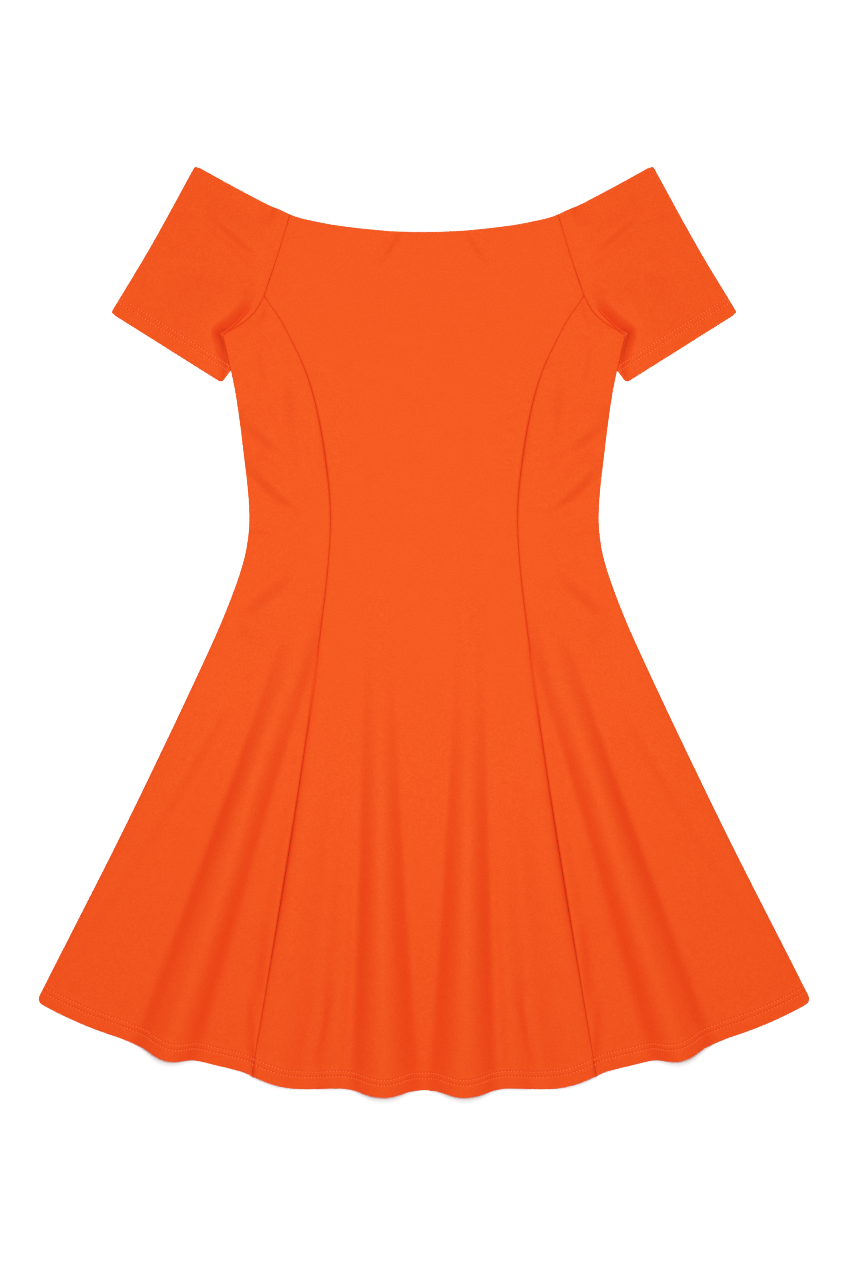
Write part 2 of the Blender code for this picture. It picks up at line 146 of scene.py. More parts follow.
# ---- creases, placed from one point to another ---------------------------------------------------
# Each is steep on the left of its way and gentle on the right. A depth below 0 is a ridge.
# The points are for the side at -X; the other side has them mirrored, with its own depth.
CREASES = (
    # from x, y, to x, y, half width, depth at -X, depth at +X
    # bodice
    (-0.0216, 0.3820, -0.0450, 0.3450, 0.0036, 0.0022, 0.0000),
    (-0.0395, 0.3780, -0.0630, 0.3450, 0.0032, 0.0000, 0.0020),
    (-0.1504, 0.3125, -0.1570, 0.2860, 0.0034, 0.0014, 0.0014),
    (-0.1450, 0.2280, -0.1510, 0.2780, 0.0060, -0.0026, -0.0028),
    (-0.1220, 0.1655, -0.1725, 0.2070, 0.0075, -0.0049, -0.0050),
    (-0.1230, 0.1200, -0.1640, 0.1620, 0.0066, -0.0050, -0.0051),
    (-0.1100, 0.1120, -0.1360, 0.1310, 0.0045, -0.0018, -0.0022),
    (-0.1120, 0.1300, -0.1205, 0.2550, 0.0095, -0.0037, -0.0038),
    (-0.1760, 0.0895, -0.1380, 0.0885, 0.0048, -0.0024, -0.0020),
    (-0.1560, 0.0960, -0.1100, 0.0921, 0.0045, 0.0010, 0.0011),
    # below the waist
    (-0.1720, 0.0000, -0.1150, 0.0485, 0.0100, -0.0056, -0.0052),
    (-0.1500, 0.0500, -0.1250, 0.0600, 0.0045, 0.0007, 0.0011),
    (-0.1095, 0.0250, -0.1265, -0.0900, 0.0085, -0.0026, -0.0024),
    # the skirt's side
    (-0.1750, -0.0400, -0.2750, -0.2150, 0.0090, -0.0042, -0.0040),
    (-0.2500, -0.1700, -0.3500, -0.3260, 0.0090, -0.0030, -0.0030),
    (-0.1545, -0.2700, -0.1600, -0.3550, 0.0060, 0.0018, 0.0024),
    (-0.1665, -0.3400, -0.1620, -0.4300, 0.0032, 0.0026, 0.0022),
    # the skirt's centre panel
    (-0.0882, -0.3280, -0.1225, -0.4450, 0.0060, 0.0029, 0.0027),
    (-0.1215, -0.3200, -0.1360, -0.3560, 0.0032, 0.0014, 0.0012),
)
SLEEVE_CREASES = (
    (-0.1480, 0.3500, -0.2050, 0.3992, 0.0052, -0.0040, -0.0036),
    (-0.1415, 0.4230, -0.1475, 0.3820, 0.0052, 0.0032, 0.0028),
    (-0.2341, 0.4010, -0.2180, 0.3900, 0.0024, 0.0010, 0.0008),
    (-0.1710, 0.3205, -0.1550, 0.3243, 0.0026, 0.0018, 0.0016),
    (-0.2450, 0.3450, -0.2080, 0.3330, 0.0070, 0.0012, 0.0013),
)
BACK_CREASES = (
    (-0.2300, -0.3000, -0.1500, 0.0200, 0.0100, -0.0004, -0.0004),
    (-0.0700, -0.3500, -0.0500, -0.0600, 0.0120, -0.0004, -0.0003),
    (-0.1300, 0.1000, -0.0900, 0.2000, 0.0080, -0.0004, -0.0005),
)
CREASE_TAPER = 0.8  # the depth follows this power of half a wave along the crease's way
CREASE_EASE = 2.6  # a trough's gentle side is this many times as wide as its steep one
CREASE_RIDGE = 0.35  # of the depth: the low ridge along a trough's steep side
RIDGE_PLACE = 1.8  # of that ridge, in half widths from the trough's middle
RIDGE_WIDTH = 0.8  # in half widths

# ---- the hollow where the sleeve dives under the side panel --------------------------------------
# Its course follows the lower armhole from the notch, and then the side seam.
HOLLOW_COURSE = (
    # straight from the notch, the rim's width beside the seam, where the slope up to the swell starts
    (0.000, 0.0048, 0.0066),
    (0.016, 0.0046, 0.0063),
    (0.030, 0.0030, 0.0047),
    (0.046, 0.0000, 0.0016),
    (0.060, 0.0000, 0.0010),
)
HOLLOW_END = 0.0500  # how far it follows the side seam
HOLLOW_GROWS = 0.0230  # the distance from the notch over which it deepens
HOLLOW_FLOOR = 0.0019  # the sleeve's level in it
HOLLOW_SLOPE = 0.0108  # how wide the slope up to the swell is
SLOPE_POWER = 1.6  # steepest at its foot
SWELL_HEIGHT = 0.0130  # of the sleeve beside the underarm, above its plain form
SWELL_CENTRE = (0.1910, 0.2840)
SWELL_REACH = 0.0440
RIM_FALL = 0.0019  # over which the rim beside the seam falls into the hollow
CORNER_ROLL = 0.0055  # how far the sleeve rolls down at its free edge beside the cuff's corner
CORNER_REACH = 0.0034  # how far in from that edge the roll reaches

# ---- seams and hems ------------------------------------------------------------------------------
SHELL_GAP = 0.00006  # between two shells that are sewn together
HEM_LIFT = 0.0003  # the doubled cloth of a hem also stands higher
SIDE_EDGE_SHARE = 0.6  # of the seam's depth, along the side where the front meets the back
ARMHOLE_SHARE = 0.8  # of it along the lower armhole
RIM_START = 0.05  # share of the sleeve's edge over which its rim along the armhole begins
FOLD_FLAT = 0.004  # hem details fade out this near to the sleeve's outer fold
BACK_TURNED = 0.0011  # what TURNED is in the back, which is thinner to stay under the front
BACK_CLEAR = 0.00002  # clear of the surface
OVER_BACK = 0.00127  # the level, above the back's top, that the front's underside stays over
LEAST_WALL = 0.0003  # the front's top stays this far above that level in its deepest creases
LAYER_GAP = 0.0001  # least gap between the sleeve's two layers
SEAM_ROLL = 0.0008  # how far from the seam the cloth starts to roll down into it
SEAM_DEPTH = 0.0007
PULL_ROLL = 0.0020  # the same where the seam is pulled deeper
SEAM_PULLS = (  # where the princess seam lies deeper: height up the dress, half length, depth
    (0.3600, 0.0350, -0.0004),
    (0.1700, 0.0700, 0.0018),
    (0.0400, 0.0500, 0.0008),
    (-0.0500, 0.0600, 0.0014),
    (-0.2200, 0.1200, 0.0032),
)
STITCH_ROWS = (0.0113, 0.0162)  # of the twin needle, from a hem's edge
CUFF_ROWS = (0.0125, 0.0170)
GROOVE_DEPTH = 0.00070  # under each row
GROOVE_WIDTH = 0.00060
WELT = 0.00018  # the cloth between the two rows stands up
PUCKER = 0.00016
PUCKER_PITCH = 0.0068
PUCKER_REACH = 0.0065  # to each side of the middle between the rows
PUCKER_DRIFT = 1.3  # how far the puckers stray from an even pitch, in radians
DRIFT_WAVES = (
    # length over 2 pi, share, start
    (0.0310, 1.0, 0.0),
    (0.0137, 0.6, 2.0),
)
STITCH_PITCH = 0.0030
STITCH_LENGTH = 0.0011
STITCH_WIDTH = 0.0013
STITCH_HEIGHT = 0.0005
STITCH_LIFT = 0.0002  # of a stitch's middle above the bottom of its groove
STITCH_SIDES = 6
STITCH_RINGS = (
    # place from the middle in half lengths, share of the full width and height
    (-1.00, 0.25),
    (-0.72, 0.80),
    (0.00, 1.00),
    (0.72, 0.80),
    (1.00, 0.25),
)

# ---- colours, light and camera -------------------------------------------------------------------
JERSEY_DARK = (0.456, 0.0700, 0.0148)
JERSEY_LIGHT = (0.520, 0.0860, 0.0206)
SHEEN_TINT = (1.0, 0.45, 0.25)
THREAD_DARK = (0.74, 0.124, 0.031)
THREAD_LIGHT = (0.90, 0.19, 0.056)
JERSEY_SHARES = (0.39, 0.61)  # of the mottle, where the dark and the light shade are whole
MOTTLE = {"Scale": 900.0, "Detail": 3.0, "Roughness": 0.6}
CLOUDS = {"Scale": 90.0, "Detail": 5.0, "Roughness": 0.65, "Distortion": 0.4}
CLOUD_SHARE = 0.12
WALES = {"Scale": 180.0, "Distortion": 0.6, "Detail Scale": 2.0}
COURSES = {"Scale": 260.0, "Distortion": 0.6, "Detail Scale": 2.0}
KNIT = {"Strength": 0.5, "Distance": 0.00008}
CLOTH = {
    "Roughness": 0.88,
    "Specular IOR Level": 0.1,
    "Sheen Weight": 0.08,
    "Sheen Roughness": 0.5,
    "Sheen Tint": (*SHEEN_TINT, 1),
}
TWIST = {"Scale": 1500.0}
THREAD = {"Roughness": 0.6, "Specular IOR Level": 0.35, "Sheen Weight": 0.2}
PAPER = {"Base Color": (0.93, 0.93, 0.93, 1), "Roughness": 1.0, "Specular IOR Level": 0.0}
FLOOR_SIZE = 8.0
LIGHT_SIZE = 0.7
LIGHT_PLACE = (0.0, 0.10, 1.6)
LIGHT_WATTS = 38.0
FILL = 0.30  # the even light from all round
COMBINED = 3  # the tone curve that acts on all three channels
RESPONSE = ((0.03, 0.0125), (0.13, 0.098), (0.3, 0.33), (0.55, 0.78), (0.8, 0.905))  # seen, shown
SENSOR = 36.0
CAMERA_HEIGHT = 3.0
CAMERA_REACH = 20.0
VIEW_LENGTH = 1.18816  # the height of the picture, on the floor

# ---- fineness ------------------------------------------------------------------------------------
MM = 0.001
EDGE_STOPS = tuple(MM * d for d in (0, 0.08, 0.2, 0.35, 0.55, 0.8, 1.1, 1.5, 2.1, 3.0))
COARSE_STOPS = tuple(MM * d for d in (0, 0.15, 0.35, 0.6, 1.2, 3.0))
ARMHOLE_STOPS = (*EDGE_STOPS, *(MM * d for d in np.arange(3.6, 9.7, 0.6)))  # fine across the hollow
PLAIN_STOPS = MM * np.array((4.5, 6.5, 8.5))  # between an edge and the first row of stitches
# across the groove of a stitch row, from its middle
NEAR_ROW = MM * np.array((-1.2, -0.75, -0.5, -0.3, -0.15, 0, 0.15, 0.3, 0.5, 0.75, 1.2))
STEP_SHARES = np.array((0, 0.35, 0.65, 1))  # of the step from turned cloth to single
STOP_DIGITS = 6  # stops are whole micrometres
CELL = 0.0026  # between two rows or columns away from the edges
SLEEVE_CELL = 0.0014
BACK_CELL = 0.0060
CURVE_STEPS = 24
HEM_STEPS = 400
HOLLOW_STEPS = 120
ARC_STEPS = 8
FOLD_STEPS = 10
SLOPE_STEP = 0.0005
FILL_COLUMNS = 90  # of the dense grid that first fills a panel's outline
FILL_ROWS = 240
LEAST_STEPS = 4


def stops_with_rows(rows):
    """Distances from a hem that hold its rounded edge and the grooves of its stitch rows."""
    grooves = np.concatenate([row + NEAR_ROW for row in rows])
    step = HEM_DEPTH + STEP_WIDTH * STEP_SHARES
    stops = (*EDGE_STOPS, *PLAIN_STOPS, *grooves, *step)
    return tuple(sorted({round(d, STOP_DIGITS) for d in stops}))


HEM_STOPS = stops_with_rows(STITCH_ROWS)
CUFF_STOPS = stops_with_rows(CUFF_ROWS)


# ---- curves --------------------------------------------------------------------------------------
def smooth(points):
    """A dense smooth line through the points."""
    points = np.array(points)
    gaps = np.linalg.norm(np.diff(points, axis=0), axis=1)
    ahead = np.vstack([points[1:], points[-1:]])
    behind = np.vstack([points[:1], points[:-1]])
    tangents = (ahead - behind) / (np.append(gaps, 0) + np.insert(gaps, 0, 0))[:, None]
    t = np.linspace(0, 1, CURVE_STEPS + 1)[1:, None]
    line = [points[:1]]
    for i, gap in enumerate(gaps):
        start, end = points[i], points[i + 1]
        out, back = start + tangents[i] * gap / 3, end - tangents[i + 1] * gap / 3
        line.append(
            (1 - t) ** 3 * start + 3 * (1 - t) ** 2 * t * out + 3 * (1 - t) * t**2 * back + t**3 * end
        )
    return np.vstack(line)


def travelled(line):
    """How far along the line each of its points lies."""
    return np.insert(np.cumsum(np.linalg.norm(np.diff(line, axis=0), axis=1)), 0, 0.0)


def at(line, distances):
    """The points of the line at these distances along it."""
    along = travelled(line)
    return np.stack([np.interp(distances, along, line[:, k]) for k in range(line.shape[1])], axis=-1)


def evenly(line, count):
    """This many points at even steps along the line."""
    return at(line, np.linspace(0, travelled(line)[-1], count))


def sideways(line, distance):
    """The line moved to the right of its own direction."""
    along = np.gradient(line, axis=0)
    along /= np.linalg.norm(along, axis=1)[:, None]
    return line + np.stack([along[:, 1], -along[:, 0]], axis=-1) * distance


def unit(vector):
    return vector / np.linalg.norm(vector)


def round_corner(line_in, line_out, radius):
    """Both lines with their corner cut off by an arc. Each line keeps half of the arc."""
    corner = line_in[-1]
    back, onward = unit(line_in[-2] - corner), unit(line_out[1] - corner)
    half_angle = math.acos(np.clip(back @ onward, -1, 1)) / 2
    cut = radius / math.tan(half_angle)
    centre = corner + unit(back + onward) * radius / math.sin(half_angle)

    def half_arc(start):
        shares = np.linspace(0, 1, ARC_STEPS + 1)[:, None]
        spokes = (start - centre) * (1 - shares) + unit(corner - centre) * radius * shares
        return centre + radius * spokes / np.linalg.norm(spokes, axis=1)[:, None]

    kept_in = line_in[np.linalg.norm(line_in - corner, axis=1) > cut]
    kept_out = line_out[np.linalg.norm(line_out - corner, axis=1) > cut]
    arc_in, arc_out = half_arc(corner + back * cut), half_arc(corner + onward * cut)
    return np.vstack([kept_in, arc_in]), np.vstack([arc_out[::-1], kept_out])


def arch(t):
    """1 at t=0, falling to 0 at t=1 and beyond, steepest at about t=0.7."""
    return np.clip(1 - t * t, 0, None) ** ARCH_POWER


def bell(t):
    """1 at t=0, falling softly to nearly 0 at t=2."""
    return np.exp(-t * t)


def eased(t):
    """A soft step from 0 at t=0 to 1 at t=1."""
    t = np.clip(t, 0, 1)
    return t * t * (3 - 2 * t)


def hem_line(x_from, x_to, dips=HEM_DIPS, inset=0.0):
    """The hem between two distances from the centre line, with its dips."""
    x = np.linspace(x_from, x_to, HEM_STEPS)
    reach = np.full_like(x, HEM_RADIUS - inset)
    for middle, half, depth in dips:
        reach += depth * arch((x - middle) / half)
    return np.stack([x, HEM_CENTRE_Y - np.sqrt(reach**2 - x**2)], axis=-1)


PRINCESS = smooth(PRINCESS_SEAM)
UPPER = smooth(UPPER_ARMHOLE)
LOWER = smooth(LOWER_ARMHOLE)
NECK = smooth(NECK_TO_ARMHOLE)
SIDE = smooth(SIDE_SEAM)


# ---- heights -------------------------------------------------------------------------------------
def folds_at(x, y):
    """How high the skirt's folds stand, as in the solids."""
    down = y / FOLD_HEM
    total = 0.0
    for hem_crest, top_crest, hem_half, top_half, height, fades_out, full in FOLDS:
        crest = top_crest + (hem_crest - top_crest) * down
        half = top_half + (hem_half - top_half) * np.maximum(down, 0) ** FOLD_FLARE
        strength = eased((fades_out - y) / (fades_out - full))
        total = total + height * strength * arch((np.abs(x) - crest) / half)
    return total


def creases_at(x, y, table):
    """The troughs of a table of creases, each steep on one side and gentle on the other."""
    total = 0.0
    for x1, y1, x2, y2, width, depth_left, depth_right in table:
        for side, depth in ((1, depth_left), (-1, depth_right)):
            run = np.array((side * (x2 - x1), y2 - y1))
            length = np.linalg.norm(run)
            run /= length
            dx, dy = x - side * x1, y - y1
            along = (dx * run[0] + dy * run[1]) / length
            off = side * (dx * run[1] - dy * run[0]) / width
            taper = np.sin(math.pi * np.clip(along, 0, 1)) ** CREASE_TAPER
            trough = bell(np.where(off > 0, off / CREASE_EASE, off))
            ridge = CREASE_RIDGE * bell((off + RIDGE_PLACE) / RIDGE_WIDTH)
            total = total + depth * taper * (ridge - trough)
    return total


def half_width(y):
    """The side seam's distance from the centre line, straight from point to point."""
    side = np.array(SIDE_SEAM)
    return np.interp(y, side[:, 1], side[:, 0])


def rise(x, y):
    """How far the front lies above its lowest level, as in the solids."""
    across = np.minimum(np.abs(x) / half_width(y), 1)
    puff = PUFF * (1 - across**PUFF_EDGE) * eased((y - FOLD_HEM) / (PUFF_FULL - FOLD_HEM))
    lift = UNDERARM_LIFT * arch(np.hypot(np.abs(x) - LIFT_CENTRE[0], y - LIFT_CENTRE[1]) / LIFT_REACH)
    return puff + lift + folds_at(x, y)


def front_height(x, y):
    """The level of the front's outer face, before its seams and hems."""
    return FRONT_TOP + rise(x, y) + creases_at(x, y, CREASES)


# ---- grids ---------------------------------------------------------------------------------------
def coons(bottom, top, left, right):
    """A dense grid that fills four edges, in rows from bottom to top."""
    bottom, top = evenly(bottom, FILL_COLUMNS), evenly(top, FILL_COLUMNS)
    left, right = evenly(left, FILL_ROWS), evenly(right, FILL_ROWS)
    u = np.linspace(0, 1, FILL_COLUMNS)[None, :, None]
    v = np.linspace(0, 1, FILL_ROWS)[:, None, None]
    low_corners = left[0] * (1 - u) + right[0] * u
    high_corners = left[-1] * (1 - u) + right[-1] * u
    corners = low_corners * (1 - v) + high_corners * v
    between = bottom[None] * (1 - v) + top[None] * v + left[:, None] * (1 - u) + right[:, None] * u
    return between - corners


def spread(length, start, end, count):
    """Distances along a line: the stops at both ends, and `count` even steps between them."""
    inner = np.linspace(start[-1], length - end[-1], count + 1)
    return np.concatenate([start[:-1], inner, length - np.array(end[-2::-1])])


def restop(grid, start, end, cell):
    """The grid with its columns' points moved to stops near both ends and even steps between."""
    lengths = [travelled(grid[:, i])[-1] for i in range(grid.shape[1])]
    count = max(LEAST_STEPS, round((np.mean(lengths) - start[-1] - end[-1]) / cell))
    columns = [at(grid[:, i], spread(length, start, end, count)) for i, length in enumerate(lengths)]
    return np.stack(columns, axis=1)


def panel_grid(edges, bottom, top, left, right, cell=CELL):
    """The plan of a panel, with fine rows and columns along its edges."""
    grid = restop(coons(*edges), bottom, top, cell)
    return restop(grid.swapaxes(0, 1), left, right, cell).swapaxes(0, 1)


def edge_distances(plan):
    """How far each point lies from the bottom, top, left and right edge, along the grid."""
    up = np.apply_along_axis(np.cumsum, 0, np.linalg.norm(np.diff(plan, axis=0), axis=2))
    up = np.vstack([np.zeros((1, plan.shape[1])), up])
    across = np.cumsum(np.linalg.norm(np.diff(plan, axis=1), axis=2), axis=1)
    across = np.hstack([np.zeros((plan.shape[0], 1)), across])
    return up, up[-1:] - up, across, across[:, -1:] - across


# ---- what hems and seams do to the height --------------------------------------------------------
def seam_dip(distance, y):
    """How far the cloth rolls down beside a seam."""
    pull = sum(depth * bell((y - middle) / half) for middle, half, depth in SEAM_PULLS)
    return SEAM_DEPTH * np.exp(-distance / SEAM_ROLL) + pull * np.exp(-distance / PULL_ROLL)


def stitched(distance, along, rows):
    """The two grooves of the twin needle, the welt between them and the fine puckers round them."""
    middle = (rows[0] + rows[1]) / 2
    half_gap = (rows[1] - rows[0]) / 2
    grooves = -GROOVE_DEPTH * sum(bell((distance - row) / GROOVE_WIDTH) for row in rows)
    welt = WELT * bell((distance - middle) / half_gap)
    drift = sum(share * np.sin(along / length + start) for length, share, start in DRIFT_WAVES)
    ripple = np.sin(2 * math.pi * along / PUCKER_PITCH + PUCKER_DRIFT * drift)
    return grooves + welt + PUCKER * ripple * bell((distance - middle) / PUCKER_REACH)


def turned(distance, depth):
    """The cloth's thickness at this distance from an edge that is turned under."""
    return TURNED + (JERSEY - TURNED) * eased((distance - depth) / STEP_WIDTH)


def edge_round(distance, thickness):
    """How far each face draws back near an edge, so that the edge is round."""
    radius = thickness / 2 - RIM
    inside = np.clip(1 - distance / radius, 0, 1)
    return radius * (1 - np.sqrt(1 - inside**2))


# ---- meshes --------------------------------------------------------------------------------------
def quads(rows, columns, offset=0, flip=False):
    """The faces of a grid whose points start at this offset."""
    j, i = np.meshgrid(np.arange(rows - 1), np.arange(columns - 1), indexing="ij")
    first = (j * columns + i).ravel() + offset
    faces = np.stack([first, first + 1, first + columns + 1, first + columns], axis=-1)
    return faces[:, ::-1] if flip else faces


def add_mesh(name, points, faces, material):
    """A smooth-shaded piece that rides on the dress's one body."""
    mesh = bpy.data.meshes.new(name)
    mesh.from_pydata(points.tolist(), [], faces)
    mesh.materials.append(material)
    mesh.shade_smooth()
    piece = bpy.data.objects.new(name, mesh)
    bpy.context.scene.collection.objects.link(piece)
    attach(piece, "root")
    return piece


def shell(node, outer, inner, mirrored=False):
    """The closed shell that shows a node, between a grid of outer points and one of inner points."""
    rows, columns = outer.shape[:2]
    count = rows * columns
    points = np.vstack([outer.reshape(-1, 3), inner.reshape(-1, 3)])
    index = np.arange(count).reshape(rows, columns)
    rim = np.concatenate([index[0], index[1:, -1], index[-1, -2::-1], index[-2:0:-1, 0]])
    onward = np.roll(rim, -1)
    sides = np.stack([rim, rim + count, onward + count, onward], axis=-1)
    faces = np.vstack([quads(rows, columns), quads(rows, columns, count, flip=True), sides])
    if mirrored:
        points = points * (-1, 1, 1)
        faces = faces[:, ::-1]
    piece = add_mesh(node + "_jersey", points, faces.tolist(), jersey)
    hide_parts(node)
    return piece


def raised(plan, height):
    """The plan's points at their heights."""
    return np.concatenate([plan, height[..., None]], axis=-1)


def steepness(plan, height):
    """How much longer the slope is than its plan, from the front's height function."""
    x, y = plan[..., 0], plan[..., 1]
    slope_x = (height(x + SLOPE_STEP, y) - height(x - SLOPE_STEP, y)) / (2 * SLOPE_STEP)
    slope_y = (height(x, y + SLOPE_STEP) - height(x, y - SLOPE_STEP)) / (2 * SLOPE_STEP)
    return np.sqrt(1 + slope_x**2 + slope_y**2)


# ---- stitches ------------------------------------------------------------------------------------
def stitch_form():
    """One stitch along X: a short thread with tapered ends, as points and faces."""
    turns = np.arange(STITCH_SIDES) * 2 * math.pi / STITCH_SIDES
    points = []
    for place, share in STITCH_RINGS:
        x = place * STITCH_LENGTH / 2
        for turn in turns:
            y = share * STITCH_WIDTH / 2 * math.cos(turn)
            z = share * STITCH_HEIGHT / 2 * math.sin(turn)
            points.append((x, y, z))
    faces = []
    for ring in range(len(STITCH_RINGS) - 1):
        for k in range(STITCH_SIDES):
            a, b = ring * STITCH_SIDES + k, ring * STITCH_SIDES + (k + 1) % STITCH_SIDES
            faces.append((a, b, b + STITCH_SIDES, a + STITCH_SIDES))
    last = (len(STITCH_RINGS) - 1) * STITCH_SIDES
    for k in range(1, STITCH_SIDES - 1):
        faces.append((0, k + 1, k))
        faces.append((last, last + k, last + k + 1))
    return np.array(points), faces


def stitches_along(line, normals):
    """The frames of the stitches along a line: centres and three axes each."""
    along = travelled(line)
    whole = along[-1]
    count = max(1, int(whole / STITCH_PITCH))
    places = (np.arange(count) + 0.5) * whole / count
    centres = at(line, places)
    normal = np.stack([np.interp(places, along, normals[:, k]) for k in range(3)], axis=-1)
    forward = at(line, places + STITCH_PITCH / 4) - at(line, places - STITCH_PITCH / 4)
    forward /= np.linalg.norm(forward, axis=1)[:, None]
    side = np.cross(normal, forward)
    side /= np.linalg.norm(side, axis=1)[:, None]
    up = np.cross(forward, side)
    return centres + up * STITCH_LIFT, forward, side, up


def stitch_piece(name, lines):
    """Every stitch along the lines that clears the surface, joined in one piece."""
    form, faces = stitch_form()
    points, all_faces, used = [], [], 0
    for line, normals in lines:
        for centre, forward, side, up in zip(*stitches_along(line, normals)):
            placed = centre + form @ np.stack([forward, side, up])
            if placed[:, 2].min() > 0:
                points.append(placed)
                all_faces.extend(tuple(k + used for k in face) for face in faces)
                used += len(form)
    add_mesh(name, np.vstack(points), all_faces, thread)


def grid_normals(outer):
    """The outward direction at each point of a grid."""
    normals = np.cross(np.gradient(outer, axis=1), np.gradient(outer, axis=0))
    return normals / np.linalg.norm(normals, axis=2)[..., None]


def row_at(outer, from_bottom, distance):
    """The line across a grid at a distance from its bottom edge, with its normals."""
    normals = grid_normals(outer)
    line, directions = [], []
    for i, up in enumerate(from_bottom.T):
        line.append([np.interp(distance, up, outer[:, i, k]) for k in range(3)])
        directions.append([np.interp(distance, up, normals[:, i, k]) for k in range(3)])
    return np.array(line), np.array(directions)


def mirror_line(line, normals):
    """The line and its normals on the other side of the dress, in the opposite direction."""
    return (line * (-1, 1, 1))[::-1], (normals * (-1, 1, 1))[::-1]


# ---- cloth and thread ----------------------------------------------------------------------------
def new_material(name):
    """A material with nodes, and its one shader."""
    material = bpy.data.materials.new(name)
    material.use_nodes = True
    return material, material.node_tree.nodes["Principled BSDF"]


def set_inputs(node, values):
    for name, value in values.items():
        node.inputs[name].default_value = value


def texture(material, kind, values):
    """A texture with these values, placed by the piece's own coordinates."""
    nodes, links = material.node_tree.nodes, material.node_tree.links
    place = nodes.new("ShaderNodeTexCoord")
    node = nodes.new(kind)
    set_inputs(node, values)
    links.new(place.outputs["Object"], node.inputs["Vector"])
    return node


def shades_between(material, dark, light, shares=(0.0, 1.0)):
    """A ramp from the dark to the light shade."""
    ramp = material.node_tree.nodes.new("ShaderNodeValToRGB")
    for stop, share, colour in zip(ramp.color_ramp.elements, shares, (dark, light)):
        stop.position = share
        stop.color = (*colour, 1)
    return ramp


def jersey_material():
    """Matt close-knit jersey: a fine even mottle, and the knit's own small relief."""
    material, cloth = new_material("jersey")
    nodes, links = material.node_tree.nodes, material.node_tree.links
    set_inputs(cloth, CLOTH)

    both = nodes.new("ShaderNodeMix")
    both.inputs["Factor"].default_value = CLOUD_SHARE
    for socket, values in (("A", MOTTLE), ("B", CLOUDS)):
        noise = texture(material, "ShaderNodeTexNoise", values)
        links.new(noise.outputs["Fac"], both.inputs[socket])
    shades = shades_between(material, JERSEY_DARK, JERSEY_LIGHT, JERSEY_SHARES)
    links.new(both.outputs["Result"], shades.inputs["Fac"])
    links.new(shades.outputs["Color"], cloth.inputs["Base Color"])

    loops = nodes.new("ShaderNodeMath")
    loops.operation = "MULTIPLY"
    for k, (direction, values) in enumerate((("X", WALES), ("Y", COURSES))):
        bands = texture(material, "ShaderNodeTexWave", values)
        bands.bands_direction = direction
        links.new(bands.outputs["Fac"], loops.inputs[k])
    knit = nodes.new("ShaderNodeBump")
    set_inputs(knit, KNIT)
    links.new(loops.outputs["Value"], knit.inputs["Height"])
    links.new(knit.outputs["Normal"], cloth.inputs["Normal"])
    return material


def thread_material():
    """Spun thread in the cloth's colour, a little brighter, with a fine twist."""
    material, spun = new_material("thread")
    links = material.node_tree.links
    set_inputs(spun, THREAD)
    twist = texture(material, "ShaderNodeTexNoise", TWIST)
    shades = shades_between(material, THREAD_DARK, THREAD_LIGHT)
    links.new(twist.outputs["Fac"], shades.inputs["Fac"])
    links.new(shades.outputs["Color"], spun.inputs["Base Color"])
    return material


jersey = jersey_material()
thread = thread_material()


# ---- panels --------------------------------------------------------------------------------------
def both_halves(line):
    """A line that starts on the centre line, with its mirror image before it."""
    return np.vstack([(line * (-1, 1))[:0:-1], line])


def front_shell(name, plan, seams, has_neckline=False, mirrored=False):
    """A front panel: its solid's form, with creases, seam rolls, turned edges and stitch rows.

    `seams` gives the share of the seam's depth along each edge that is sewn.
    """
    below, above, before, beyond = edge_distances(plan)
    x, y = plan[..., 0], plan[..., 1]
    height_at = mirrored_front_height if mirrored else front_height
    plain = height_at(x, y) + HEM_LIFT * (1 - eased((below - HEM_DEPTH) / STEP_WIDTH))
    height = plain + stitched(below, before, STITCH_ROWS)
    thickness = turned(below, HEM_DEPTH)
    turned_edge = below
    if has_neckline:
        thickness = np.maximum(thickness, turned(above, FACING_DEPTH))
        turned_edge = np.minimum(turned_edge, above)
    inner_face = plain - thickness * steepness(plan, height_at) + edge_round(turned_edge, thickness)
    any_edge = turned_edge
    for seam, distance in (("left", before), ("right", beyond), ("top", above)):
        if seam in seams:
            height = height - seam_dip(distance, y) * seams[seam]
            any_edge = np.minimum(any_edge, distance)
    outer_face = np.maximum(height - edge_round(any_edge, thickness), OVER_BACK + LEAST_WALL)
    inner_face = np.minimum(np.maximum(inner_face, OVER_BACK), outer_face - 2 * RIM)
    outer = raised(plan, outer_face)
    return shell(name, outer, raised(plan, inner_face), mirrored), outer


def mirrored_front_height(x, y):
    """The front's level, for a panel that is made at +X and then mirrored."""
    return front_height(-x, y)


def make_front_centre():
    seam = np.vstack([PRINCESS, UPPER[1:]])
    edge = sideways(seam, -SHELL_GAP / 2)
    hem = both_halves(hem_line(0.0, edge[0, 0]))
    hem[0], hem[-1] = edge[0] * (-1, 1), edge[0]
    neck = both_halves(np.vstack([NECK[:-1], edge[-1:]]))
    edges = (hem, neck, edge * (-1, 1), edge)
    plan = panel_grid(edges, HEM_STOPS, EDGE_STOPS, EDGE_STOPS, EDGE_STOPS)
    return front_shell("front_centre", plan, {"left": 1, "right": 1}, has_neckline=True)


